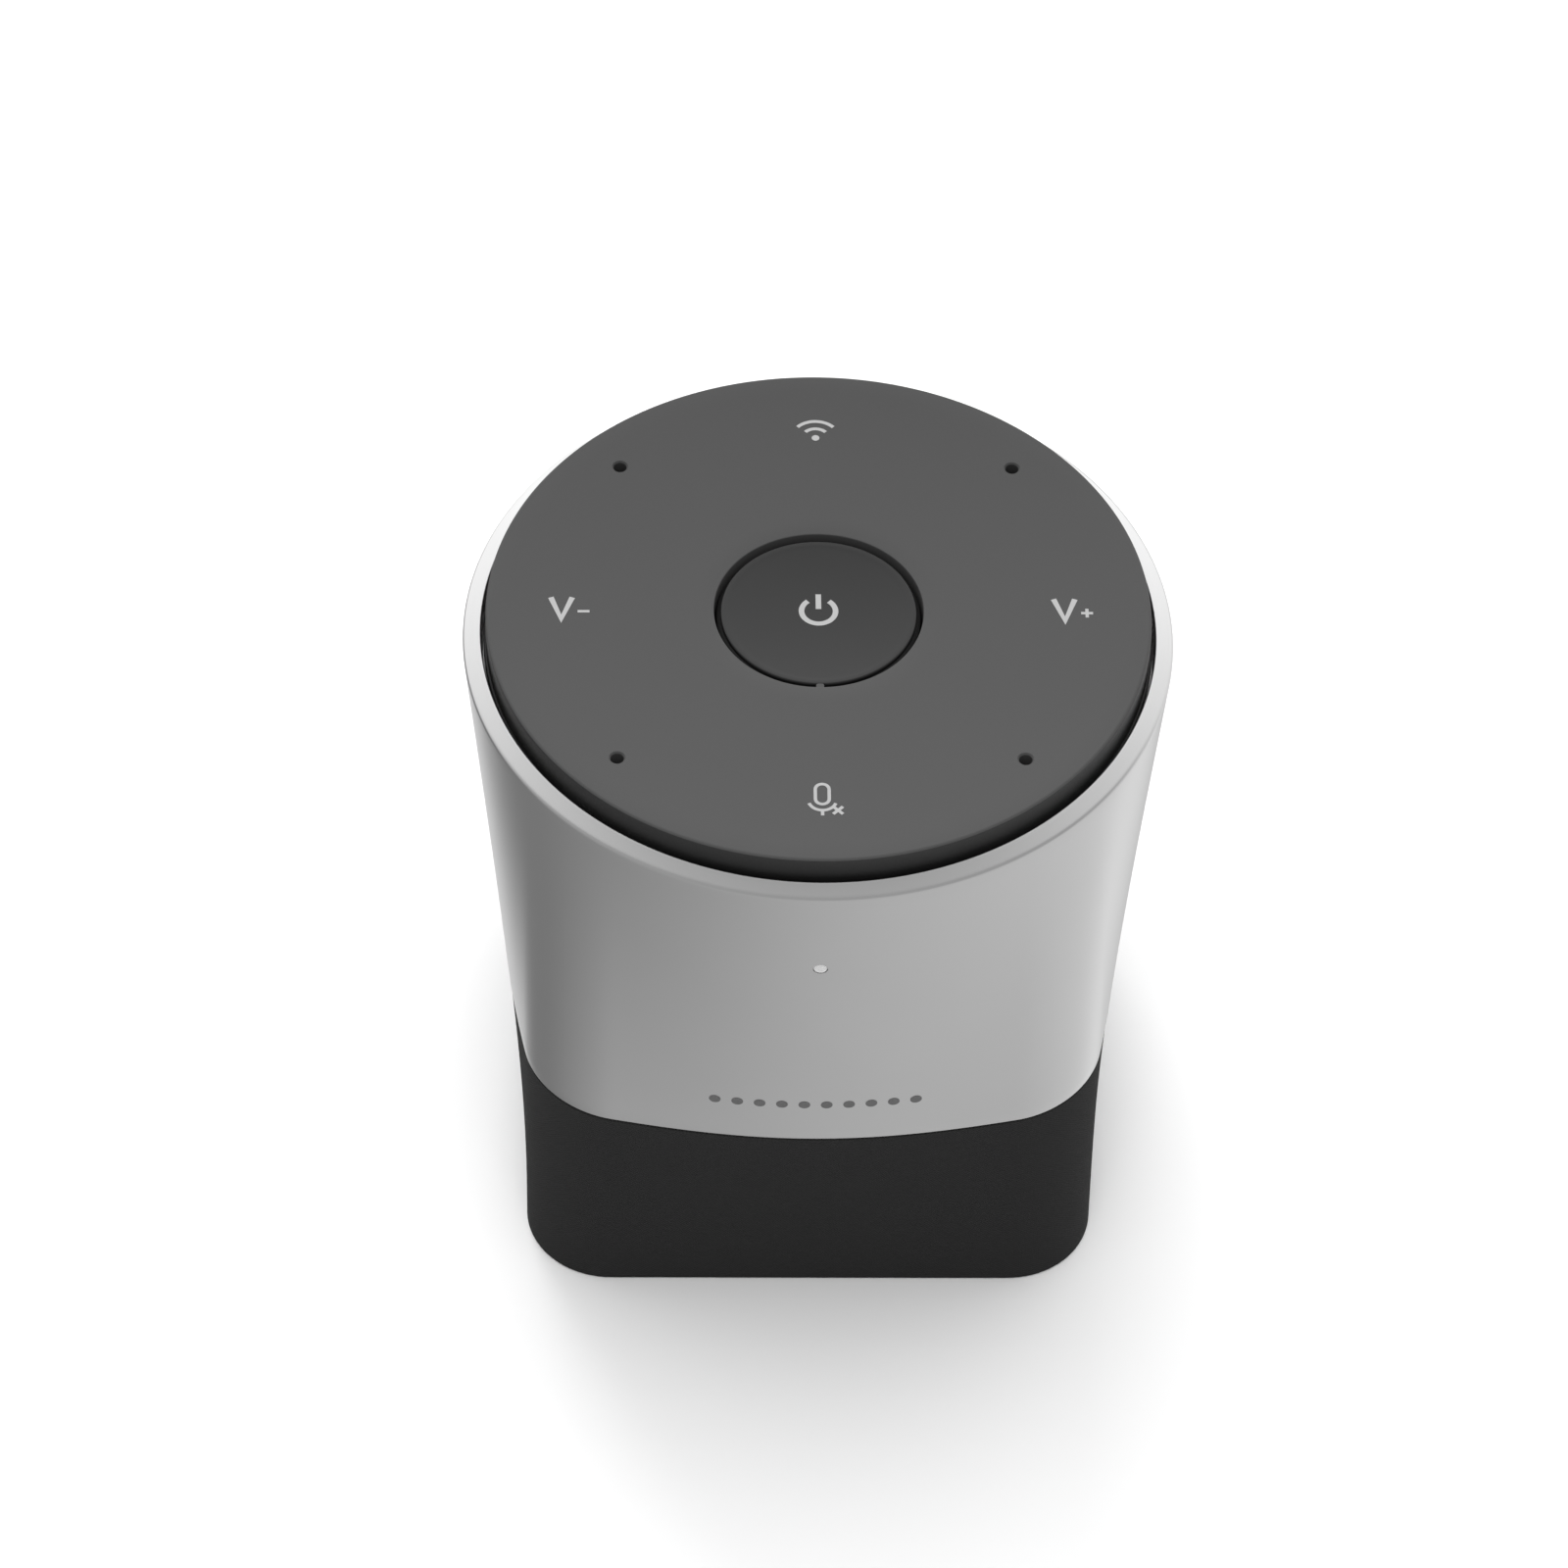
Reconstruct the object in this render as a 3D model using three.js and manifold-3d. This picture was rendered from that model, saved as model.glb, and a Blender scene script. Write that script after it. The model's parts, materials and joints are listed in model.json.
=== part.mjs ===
// Conference speakerphone. A round control panel sits in an aluminium sleeve that turns from a
// circle at its rim into a rounded square at the table, over a cloth-covered speaker base.
// Units are millimetres, +Z is up, the front faces -Y, and the origin is the middle of the foot's
// underside.
import * as THREE from "three";
import { mergeVertices } from "three/addons/utils/BufferGeometryUtils.js";
import Module from "manifold-3d";

const wasm = await Module();
wasm.setup();

// ---------- driving dimensions ----------
const RIM_R = 45; // sleeve's outer radius at its round top
const RIM_Z = 86; // height of the sleeve's top land
const PANEL_Z = 89.2; // height of the control panel's face
const BASE_HALF = 37.6; // half the width of the rounded square at the table
const BASE_CORNER_R = 11.3; // that square's corner radius
const SEAM_Z = 32.9; // where the cloth base ends and the sleeve begins
const SEAM_GAP = 0.25; // shadow gap between cloth and sleeve
const SLEEVE_WALL = 2.2;
const SHOULDER_R = 1.7; // rounded outer edge of the sleeve's rim
const FIT = 0.2; // assembly gap between pieces that rest on each other
const ROUND_CORE_R = 28; // anything inside this radius stays round at every height
const CORNER_CROWDING = 0.1; // how far the facets are drawn in towards the four corners

// Radii of pieces that follow the body's section are given as they would be at the round rim.
const FOOT_H = 1.1;
const FOOT_R = 41;
const FOOT_HOLE_R = 26;
const BASE_PLATE_R = 43.9;
const BASE_PLATE_Z = [1.3, 4.5];
const CLOTH_THICKNESS = 0.9;
const HOUSING_R = 43.3;
const HOUSING_WALL = 1.7;
const SPIGOT_R = [40.6, 42.2]; // collar of the base housing that enters the sleeve
const SPIGOT_H = 2;
const BAFFLE_Z = [13, 15.2];
const BAFFLE_BORE_R = 22.6;
const WINDOW_WIDTH = 44; // sound windows in the four flat sides of the housing
const FRAME_R = 42.4;
const FRAME_Z = [36.5, 38.5];
const LOWER_LEDGE_R = 40.2; // ledge inside the sleeve that the frame rests on
const UPPER_LEDGE_R = 41; // ledge that the panel's snap hooks catch
const UPPER_LEDGE_Z = [79.4, 80.6, 81.3];
const MAIN_BOARD_Z = [67, 68.6];
const CONTROL_BOARD_Z = [79.2, 80.4];
const BOARD_R = 38;

const BUTTON_R = 12.55;
const BUTTON_BORE_R = 13.2;
const BUTTON_EDGE_Z = PANEL_Z - 0.4;
const BUTTON_DISH = 0.9; // how far the button's middle lies below its edge
const BUTTON_FLANGE_R = 14.2; // keeps the button under the panel's collar
const PANEL_COLLAR_R = 14.6; // outside of the collar round the button
const PANEL_R = 41.95;
const PANEL_THICKNESS = 2.3;
const PANEL_SKIRT_R = [39.6, 41.5];
const PANEL_SKIRT_Z = 81.5; // foot of the skirt that enters the sleeve
const KEY_WIDTH = 1; // locating key between panel and button, at the front of the bore
const KEY_LENGTH = 0.65;
const KEY_CLEARANCE = 0.25;

const MIC_AT = 25.2; // microphones sit at (+-MIC_AT, +-MIC_AT)
const MIC_HOLE_R = 0.85;
const LIGHT_Z = 70.8; // height of the status light on the front
const LIGHT_R = 0.9;
const BOSS_AT = [14, 32]; // screws and pegs of both boards
const BOARD_HOLE_R = 1.5;
const BASE_SCREW_AT = [26.4, 26.4];
const BASE_SCREW_HOLE_R = 1.8;
const BASE_SCREW_LENGTH = 39;
const COUNTERBORE_R = 3.1;
const POST_R = 3.8; // posts round the base screws

const PORT_Z = 46; // middle of the charging port, on the back
const PORT_SIZE = [17, 11]; // outside of its bezel
const PORT_RECESS = [12.9, 7.1];
const PORT_FLOOR_Y = 37.1; // bottom of the recess that takes a plug's overmould
const BEZEL_FLANGE = 1.5; // how far the bezel's flange stands out behind the sleeve, all round
const USB_SHELL = [9, 3.3, 7.6]; // width, height, depth
const USB_WALL = 0.35;
const PORT_BOARD_THICKNESS = 1.6;

const CELL_R = 9.2;
const CELL_LENGTH = 65;
const CELL_Y = 9.6;
const CELL_Z = 49;
const CELL_SIDES = 16;
const LEAD_R = 0.8;

// ---------- facet counts ----------
const BODY_SIDES = 48;
const ROUND_SIDES = 32;
const DRIVER_SIDES = 20;
const SMALL_SIDES = 8;
const CORNER_STEPS = 4; // to each quarter turn of a rounded outline

// ---------- materials ----------
const finish = (color, roughness, metalness = 0) =>
  new THREE.MeshStandardMaterial({ color, roughness, metalness });
const ALUMINIUM = finish(0xb9babb, 0.32, 1);
const PANEL_PLASTIC = finish(0x5a5a5a, 0.5);
const BUTTON_PLASTIC = finish(0x3a3a3a, 0.4);
const CLOTH = finish(0x2a2a2a, 0.95);
const RUBBER = finish(0x1a1a1a, 0.9);
const BLACK_PLASTIC = finish(0x1d1d1f, 0.6);
const BOARD = finish(0x1f4a2f, 0.55);
const CHIP = finish(0x151517, 0.5);
const STEEL = finish(0xa8a8a6, 0.35, 1);
const FERRITE = finish(0x2c2c2e, 0.7);
const PAPER_CONE = finish(0x242424, 0.85);
const COPPER = finish(0xb06a3c, 0.35, 1);
const CELL_WRAP = finish(0x2f5f9e, 0.45);
const FILM = finish(0x9a6a2c, 0.4);
const LIGHT_GUIDE = finish(0xf2f4f5, 0.25);

// ---------- solids: three.js geometry to manifold-3d and back ----------
function toSolid(geometry) {
  const bare = geometry.index ? geometry.toNonIndexed() : geometry.clone();
  bare.deleteAttribute("normal");
  bare.deleteAttribute("uv");
  const merged = mergeVertices(bare, 1e-4);
  return new wasm.Manifold(
    new wasm.Mesh({
      numProp: 3,
      vertProperties: merged.attributes.position.array,
      triVerts: new Uint32Array(merged.index.array),
    }),
  );
}

function toGeometry(solid) {
  const { numProp, numVert, vertProperties, triVerts } = solid.getMesh();
  const points = new Float32Array(numVert * 3);
  for (let i = 0; i < numVert; i++) {
    points.set(vertProperties.subarray(i * numProp, i * numProp + 3), i * 3);
  }
  return new THREE.BufferGeometry()
    .setAttribute("position", new THREE.BufferAttribute(points, 3))
    .setIndex(new THREE.BufferAttribute(new Uint32Array(triVerts), 1));
}

// A piece with others joined to it, and then others cut from it.
function shape(base, joined = [], cut = []) {
  let solid = toSolid(base);
  for (const piece of joined) solid = solid.add(toSolid(piece));
  for (const piece of cut) solid = solid.subtract(toSolid(piece));
  return toGeometry(solid);
}

// ---------- basic shapes ----------
const QUARTERS = [[1, 1], [-1, 1], [-1, -1], [1, -1]];

// Turned about +Z. The profile's [radius, z] points run outwards along the bottom, up the outside
// and back along the top.
function turned(profile, sides = ROUND_SIDES) {
  const points = profile.map(([r, z]) => new THREE.Vector2(r, z));
  return new THREE.LatheGeometry(points, sides).rotateX(Math.PI / 2);
}

const ring = (inner, outer, z0, z1, sides) =>
  turned([[inner, z0], [outer, z0], [outer, z1], [inner, z1], [inner, z0]], sides);

const disc = (r, z0, z1, sides) => turned([[0, z0], [r, z0], [r, z1], [0, z1]], sides);

const rod = (x, y, r, z0, z1, sides = SMALL_SIDES) => disc(r, z0, z1, sides).translate(x, y, 0);

function box([x0, x1], [y0, y1], [z0, z1]) {
  return new THREE.BoxGeometry(x1 - x0, y1 - y0, z1 - z0).translate(
    (x0 + x1) / 2,
    (y0 + y1) / 2,
    (z0 + z1) / 2,
  );
}

// The points of a circular arc, centre [r, z], from one angle to another in degrees.
function arc([r, z], radius, from, to, steps) {
  return Array.from({ length: steps + 1 }, (_, i) => {
    const a = THREE.MathUtils.degToRad(from + ((to - from) * i) / steps);
    return [r + radius * Math.cos(a), z + radius * Math.sin(a)];
  });
}

// A rectangle with rounded corners, centred on the origin.
function roundedOutline(width, height, radius) {
  const r = Math.min(radius, width / 2, height / 2);
  const corner = new THREE.Vector2(width / 2 - r, height / 2 - r);
  const points = QUARTERS.flatMap(([sx, sy], i) =>
    arc([sx * corner.x, sy * corner.y], r, i * 90, (i + 1) * 90, CORNER_STEPS)
      .map(([x, y]) => new THREE.Vector2(x, y)));
  return new THREE.Shape(points.filter((p, i) =>
    p.distanceTo(points[(i + 1) % points.length]) > 1e-6));
}

// A rounded bar that runs along Y from y0 to y1, its outline centred on x = 0 at height z.
function barAlongY(width, height, radius, [y0, y1], z) {
  return new THREE.ExtrudeGeometry(roundedOutline(width, height, radius), {
    depth: y1 - y0,
    bevelEnabled: false,
  })
    .rotateX(Math.PI / 2)
    .translate(0, y1, z);
}

// ---------- the body's changing section ----------
function squareRadius(angle) {
  const c = Math.abs(Math.cos(angle));
  const s = Math.abs(Math.sin(angle));
  const core = BASE_HALF - BASE_CORNER_R;
  const flat = BASE_HALF / Math.max(c, s);
  if (flat * Math.min(c, s) <= core) return flat;
  const along = core * (c + s);
  return along + Math.sqrt(along ** 2 - 2 * core ** 2 + BASE_CORNER_R ** 2);
}

// The outside of the body: a straight loft from the rounded square at z = 0 to the round rim.
function bodyRadius(angle, z) {
  const share = z / RIM_Z;
  return (1 - share) * squareRadius(angle) + share * RIM_R;
}

// Stretches a turned piece, drawn as it would be at the round rim, to the body's section.
function followBody(geometry) {
  const place = geometry.getAttribute("position");
  for (let i = 0; i < place.count; i++) {
    const [x, y, z] = [place.getX(i), place.getY(i), place.getZ(i)];
    const r = Math.hypot(x, y);
    if (r < ROUND_CORE_R) continue;
    const even = Math.atan2(y, x);
    const angle = even + CORNER_CROWDING * Math.sin(4 * even);
    const stretched = (r * bodyRadius(angle, z)) / RIM_R;
    place.setXY(i, stretched * Math.cos(angle), stretched * Math.sin(angle));
  }
  return geometry;
}

const atQuarters = ([x, y], make) => QUARTERS.map(([sx, sy]) => make(sx * x, sy * y));

// ---------- the assembly ----------
const speakerphone = new THREE.Group();

function add(name, geometry, material, position = [0, 0, 0]) {
  const mesh = new THREE.Mesh(geometry, material);
  mesh.name = name;
  mesh.position.set(...position);
  speakerphone.add(mesh);
  return mesh;
}

function addAtQuarters(name, geometry, material, [x, y], z = 0) {
  QUARTERS.forEach(([sx, sy], i) => {
    add(`${name}_${i + 1}`, geometry.clone(), material, [sx * x, sy * y, z]);
  });
}

// A pan-head screw standing on z = 0 with its shank pointing up; length counts the head.
function screw(headR, headH, shankR, length) {
  return turned([[0, 0], [headR, 0], [headR, headH], [shankR, headH], [shankR, length], [0, length]],
    SMALL_SIDES);
}

// ---------- foot, base plate and speaker base ----------
function addBase() {
  const underside = BASE_PLATE_Z[0];
  add("foot_pad", followBody(turned(
    [[FOOT_HOLE_R, 0], [FOOT_R - 0.4, 0], [FOOT_R, 0.4], [FOOT_R, FOOT_H], [FOOT_HOLE_R, FOOT_H],
      [FOOT_HOLE_R, 0]], BODY_SIDES)), RUBBER);

  const plate = followBody(disc(BASE_PLATE_R, ...BASE_PLATE_Z, BODY_SIDES));
  const screwHoles = atQuarters(BASE_SCREW_AT, (x, y) => rod(x, y, BASE_SCREW_HOLE_R, 0, 6));
  const counterbores = atQuarters(BASE_SCREW_AT, (x, y) =>
    rod(x, y, COUNTERBORE_R, 0, underside + 2));
  add("base_plate", shape(plate, [], [...screwHoles, ...counterbores]), BLACK_PLASTIC);

  addAtQuarters("base_screw", screw(2.8, 1.7, 1.5, BASE_SCREW_LENGTH), STEEL, BASE_SCREW_AT,
    underside + 0.1);

  // The cone that turns the driver's sound outwards, all round.
  const floor = BASE_PLATE_Z[1] + FIT;
  add("sound_diffuser", turned(
    [[0, floor], [19, floor], [19, floor + 0.6], [12, floor + 1.8], [6, floor + 3.9],
      [2.2, floor + 6.2], [0, floor + 6.8]], DRIVER_SIDES), BLACK_PLASTIC);

  // Wall, baffle shelf and the spigot that enters the sleeve, in one moulding.
  const top = SEAM_Z - 0.1;
  const wall = HOUSING_R - HOUSING_WALL;
  const moulding = followBody(turned([
    [wall, floor], [HOUSING_R, floor], [HOUSING_R, top], [SPIGOT_R[1], top],
    [SPIGOT_R[1], SEAM_Z + SPIGOT_H], [SPIGOT_R[0], SEAM_Z + SPIGOT_H],
    [SPIGOT_R[0], BAFFLE_Z[1]], [BAFFLE_BORE_R, BAFFLE_Z[1]], [BAFFLE_BORE_R, BAFFLE_Z[0]],
    [wall, BAFFLE_Z[0]], [wall, floor]], BODY_SIDES));
  const posts = atQuarters(BASE_SCREW_AT, (x, y) => rod(x, y, POST_R, floor, FRAME_Z[0] - FIT));
  const bores = atQuarters(BASE_SCREW_AT, (x, y) =>
    rod(x, y, BASE_SCREW_HOLE_R, 0, FRAME_Z[0] + 1));
  const windowZ = [floor + 1, BAFFLE_Z[0] - 0.8];
  const across = [-WINDOW_WIDTH / 2, WINDOW_WIDTH / 2];
  const through = [-60, 60];
  const windows = [box(across, through, windowZ), box(through, across, windowZ)];
  add("base_housing", shape(moulding, posts, [...bores, ...windows]), BLACK_PLASTIC);

  add("grille_cloth", followBody(
    ring(RIM_R - CLOTH_THICKNESS, RIM_R, BASE_PLATE_Z[0] - 0.6, SEAM_Z, BODY_SIDES)), CLOTH);
}

// ---------- loudspeaker, facing down ----------
function addDriver() {
  const seat = BAFFLE_Z[1];
  add("speaker_gasket", ring(22.8, 27.2, seat + 0.1, seat + 0.6, DRIVER_SIDES), RUBBER);

  // Flange, ribbed cone frame and the seat of the magnet.
  const flange = seat + 0.7;
  const basket = turned(
    [[24.2, flange], [27.4, flange], [27.4, flange + 1.4], [25, flange + 1.4],
      [18.6, flange + 9.4], [18.6, flange + 10.6], [8.4, flange + 10.6], [8.4, flange + 9.4],
      [17.2, flange + 9.4], [23.4, flange + 1.2], [24.2, flange + 0.8], [24.2, flange]],
    DRIVER_SIDES);
  const gaps = [0, 1, 2].map((i) =>
    box([-6, 6], [-30, 30], [flange + 2.4, flange + 8.6]).rotateZ((i * Math.PI) / 3));
  const core = disc(12, flange + 1, flange + 9.2, DRIVER_SIDES);
  const openings = gaps.map((gap) => shape(gap, [], [core]));
  add("speaker_basket", shape(basket, [], openings), STEEL);

  const motor = flange + 10.6 + FIT;
  add("speaker_front_plate", ring(8.3, 15.5, motor, motor + 2, DRIVER_SIDES), STEEL);
  add("speaker_magnet", ring(9.4, 16.4, motor + 2.2, motor + 5.4, DRIVER_SIDES), FERRITE);
  add("speaker_yoke", turned(
    [[0, motor], [7, motor], [7, motor + 5.6], [15.5, motor + 5.6], [15.5, motor + 7.4],
      [0, motor + 7.4]], DRIVER_SIDES), STEEL);

  // The moving assembly.
  const coilFoot = seat + 5.8;
  add("voice_coil", ring(7.35, 7.9, coilFoot, coilFoot + 9, DRIVER_SIDES), COPPER);
  add("speaker_cone", turned(
    [[8.1, seat + 6.3], [19.5, seat + 0.7], [19.5, seat + 1.3], [8.1, seat + 6.9],
      [8.1, seat + 6.3]], DRIVER_SIDES), PAPER_CONE);
  add("dust_cap", turned(
    [[0, seat + 3.3], [3.2, seat + 3.5], [6, seat + 4.2], [8.3, seat + 5.3], [8, seat + 5.6],
      [5.8, seat + 4.7], [3, seat + 4], [0, seat + 3.8]], DRIVER_SIDES), PAPER_CONE);

  // Half-roll surround and flat spider, which flex as the cone moves.
  const roll = [21.25, seat + 1.1];
  add("speaker_surround", turned(
    [...arc(roll, 1.45, 180, 360, 4), [24, seat + 1.1], [24, seat + 1.4], [22.4, seat + 1.4],
      ...arc(roll, 1.1, 345, 195, 4), [19.8, seat + 1.1]], DRIVER_SIDES), RUBBER);
  const weave = [8.1, 10.8, 13.5, 16.2, 18.8];
  const lift = (i) => seat + 7.4 + (i % 2) * 0.5;
  add("speaker_spider", turned(
    [...weave.map((r, i) => [r, lift(i)]), ...weave.map((r, i) => [r, lift(i) + 0.35]).reverse(),
      [weave[0], lift(0)]], DRIVER_SIDES), FILM);
}

// ---------- sleeve and its trim ----------
function addSleeve() {
  const inside = RIM_R - SLEEVE_WALL;
  const foot = SEAM_Z + SEAM_GAP;
  const ledgeFoot = SEAM_Z + SPIGOT_H + 0.3;
  const profile = [
    [inside, foot], [RIM_R, foot],
    ...arc([RIM_R - SHOULDER_R, RIM_Z - SHOULDER_R], SHOULDER_R, 0, 90, 3),
    [inside, RIM_Z], [inside, UPPER_LEDGE_Z[2]], [UPPER_LEDGE_R, UPPER_LEDGE_Z[2]],
    [UPPER_LEDGE_R, UPPER_LEDGE_Z[1]], [inside, UPPER_LEDGE_Z[0]],
    [inside, FRAME_Z[0] - FIT], [LOWER_LEDGE_R, FRAME_Z[0] - FIT], [LOWER_LEDGE_R, ledgeFoot],
    [inside, ledgeFoot], [inside, foot],
  ];
  const lightHole = disc(LIGHT_R + 0.2, 30, 50, SMALL_SIDES)
    .rotateX(Math.PI / 2)
    .translate(0, 0, LIGHT_Z);
  const portHole = barAlongY(PORT_SIZE[0] + 0.5, PORT_SIZE[1] + 0.5, 3.2, [30, 50], PORT_Z);
  add("sleeve", shape(followBody(turned(profile, BODY_SIDES)), [], [lightHole, portHole]),
    ALUMINIUM);

  // A light guide from just in front of the lamp to the sleeve's skin, with a collar behind it.
  const start = BOARD_R + 0.3;
  const tip = bodyRadius(Math.PI / 2, LIGHT_Z) - start;
  const collar = [tip - SLEEVE_WALL - 1.1, tip - SLEEVE_WALL - 0.3];
  add("status_light_pipe", turned(
    [[0, 0], [LIGHT_R, 0], [LIGHT_R, collar[0]], [1.7, collar[0]], [1.7, collar[1]],
      [LIGHT_R, collar[1]], [LIGHT_R, tip - 0.1], [0, tip]], SMALL_SIDES)
    .rotateX(Math.PI / 2)
    .translate(0, -start, LIGHT_Z), LIGHT_GUIDE);
}

// ---------- charging port on the back ----------
function addPort() {
  const body = followBody(disc(RIM_R, 20, 70, BODY_SIDES));
  const [outerWidth, outerHeight] = PORT_SIZE;
  const backY = PORT_FLOOR_Y - 1.2;
  const flange = barAlongY(outerWidth + 2 * BEZEL_FLANGE, outerHeight + 2 * BEZEL_FLANGE, 4,
    [backY, backY + 2], PORT_Z);
  const block = shape(barAlongY(outerWidth, outerHeight, 3, [backY, 50], PORT_Z), [flange]);
  const recess = barAlongY(...PORT_RECESS, 2.2, [PORT_FLOOR_Y, 52], PORT_Z);
  const [width, height, depth] = USB_SHELL;
  const mouth = barAlongY(width + 0.4, height + 0.4, 1.85, [30, 40], PORT_Z);
  const bezel = toSolid(block).intersect(toSolid(body));
  add("port_bezel", toGeometry(bezel.subtract(toSolid(recess)).subtract(toSolid(mouth))),
    BLACK_PLASTIC);

  const front = PORT_FLOOR_Y - 0.1;
  const back = front - depth;
  const shell = barAlongY(width, height, height / 2, [back, front], PORT_Z);
  const innerHeight = height - 2 * USB_WALL;
  const hollow = barAlongY(width - 2 * USB_WALL, innerHeight, innerHeight / 2,
    [back + 0.8, front + 1], PORT_Z);
  add("usb_c_shell", shape(shell, [], [hollow]), STEEL);
  add("usb_c_tongue", box([-3.35, 3.35], [back + 1, front - 0.9], [PORT_Z - 0.35, PORT_Z + 0.35]),
    CHIP);
  const boardTop = PORT_Z - height / 2 - FIT;
  add("port_board", box([-8.4, 8.4], [23.5, backY - 0.4],
    [boardTop - PORT_BOARD_THICKNESS, boardTop]), BOARD);
}

// ---------- frame, battery and boards ----------
function cellRod(r, length, y) {
  return turned([[0, -length / 2], [r, -length / 2], [r, length / 2], [0, length / 2]], CELL_SIDES)
    .rotateY(Math.PI / 2)
    .translate(0, y, CELL_Z);
}

function addFrame() {
  const plate = followBody(disc(FRAME_R, ...FRAME_Z, BODY_SIDES));
  const postTop = MAIN_BOARD_Z[0] - FIT;
  const posts = atQuarters(BOSS_AT, (x, y) => rod(x, y, 4.2, FRAME_Z[0], postTop));
  const bosses = atQuarters(BASE_SCREW_AT, (x, y) => rod(x, y, POST_R, FRAME_Z[0], 43));
  const portBoardFoot = PORT_Z - USB_SHELL[1] / 2 - FIT - PORT_BOARD_THICKNESS;
  const stands = [-6, 6].map((x) => rod(x, 27, 1.6, FRAME_Z[0], portBoardFoot - FIT));
  const ribs = [-20, 20].map((x) => box([x - 1.5, x + 1.5], [-19.5, 19.5], [FRAME_Z[0], 44.5]));
  const cellSeats = [-CELL_Y, CELL_Y].map((y) => cellRod(CELL_R + 0.3, 80, y));
  const leadHole = rod(-33.6, 0, 2, 30, 45);
  const cuts = [
    ...cellSeats,
    ...atQuarters(BASE_SCREW_AT, (x, y) => rod(x, y, 1.7, 30, 50)),
    ...atQuarters(BOSS_AT, (x, y) => rod(x, y, 1.4, postTop - 10, postTop + 5)),
    leadHole,
  ];
  add("inner_frame", shape(plate, [...posts, ...bosses, ...stands, ...ribs], cuts), BLACK_PLASTIC);

  ["front", "rear"].forEach((side, i) => {
    const cap = CELL_LENGTH / 2;
    const cell = turned(
      [[0, -cap], [CELL_R - 0.5, -cap], [CELL_R, 0.5 - cap], [CELL_R, cap - 1.2],
        [CELL_R - 0.5, cap - 0.7], [3, cap - 0.7], [3, cap], [0, cap]], CELL_SIDES)
      .rotateY(Math.PI / 2);
    add(`battery_cell_${side}`, cell, CELL_WRAP, [0, (2 * i - 1) * CELL_Y, CELL_Z]);
  });

  // A strap round both cells: an oblong loop, this far clear of them inside and outside.
  const oblong = (clear) =>
    roundedOutline(2 * (CELL_Y + CELL_R + clear), 2 * (CELL_R + clear), 20);
  const loop = oblong(1);
  loop.holes.push(oblong(0.3));
  const strapWidth = 12;
  const strap = new THREE.ExtrudeGeometry(loop, { depth: strapWidth, bevelEnabled: false })
    .translate(0, 0, -strapWidth / 2)
    .rotateX(Math.PI / 2)
    .rotateZ(Math.PI / 2);
  add("battery_strap", strap, RUBBER, [0, 0, CELL_Z]);
}

function addMainBoard() {
  const [low, top] = MAIN_BOARD_Z;
  const holes = atQuarters(BOSS_AT, (x, y) => rod(x, y, BOARD_HOLE_R, low - 1, top + 1));
  add("main_board", shape(disc(BOARD_R, low, top, ROUND_SIDES), [], holes), BOARD);
  const boardScrew = screw(2.6, 1.6, 1.2, 9).rotateX(Math.PI);
  addAtQuarters("main_board_screw", boardScrew, STEEL, BOSS_AT, top + FIT + 1.6);
  add("processor_shield", box([-20, 0], [-6, 14], [top + FIT, top + 2.8]), STEEL);
  add("amplifier_chip", box([6, 13], [-4, 3], [top + FIT, top + 1.3]), CHIP);
  [-10, -20].forEach((y, i) => {
    add(`capacitor_${i + 1}`, rod(16, y, 4, top + FIT, top + 8.2, 12), CHIP);
  });
  add("status_led", box([-1.6, 1.6], [-37.8, -36.2], [top + FIT, LIGHT_Z + 1.3]), LIGHT_GUIDE);

  // Flat flex between the two boards, bowed out towards the edge.
  const bow = new THREE.CatmullRomCurve3([
    new THREE.Vector3(29, 8, top + 0.4),
    new THREE.Vector3(33, 8, top + 2),
    new THREE.Vector3(35, 8, (top + CONTROL_BOARD_Z[0]) / 2),
    new THREE.Vector3(33, 8, CONTROL_BOARD_Z[0] - 2),
    new THREE.Vector3(29, 8, CONTROL_BOARD_Z[0] - 0.4),
  ]);
  const halfWidth = 5;
  const halfThickness = 0.15;
  const section = new THREE.Shape([
    new THREE.Vector2(-halfWidth, -halfThickness),
    new THREE.Vector2(halfWidth, -halfThickness),
    new THREE.Vector2(halfWidth, halfThickness),
    new THREE.Vector2(-halfWidth, halfThickness),
  ]);
  add("board_flex", new THREE.ExtrudeGeometry(section, { extrudePath: bow, steps: 8 }), FILM);
}

// A round lead inside the case, along a smooth curve through its points.
function lead(points) {
  const route = new THREE.CatmullRomCurve3(points.map((p) => new THREE.Vector3(...p)));
  const section = new THREE.Shape();
  section.absarc(0, 0, LEAD_R, 0, 2 * Math.PI);
  return new THREE.ExtrudeGeometry(section, { extrudePath: route, steps: 14, curveSegments: 3 });
}

function addLeads() {
  add("speaker_lead", lead(
    [[-19.5, 0, 27.6], [-25, 0, 29.2], [-31, 0, 31.5], [-33.3, 0, 35.5], [-34, 0, 40],
      [-36, 0, 46], [-36, 0, 56], [-34, 0, 66.6]]), RUBBER);
  add("battery_lead", lead(
    [[33.4, CELL_Y, 50], [36, 6, 52], [36, 2, 58], [34, 0, 66.6]]), RUBBER);
}

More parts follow.
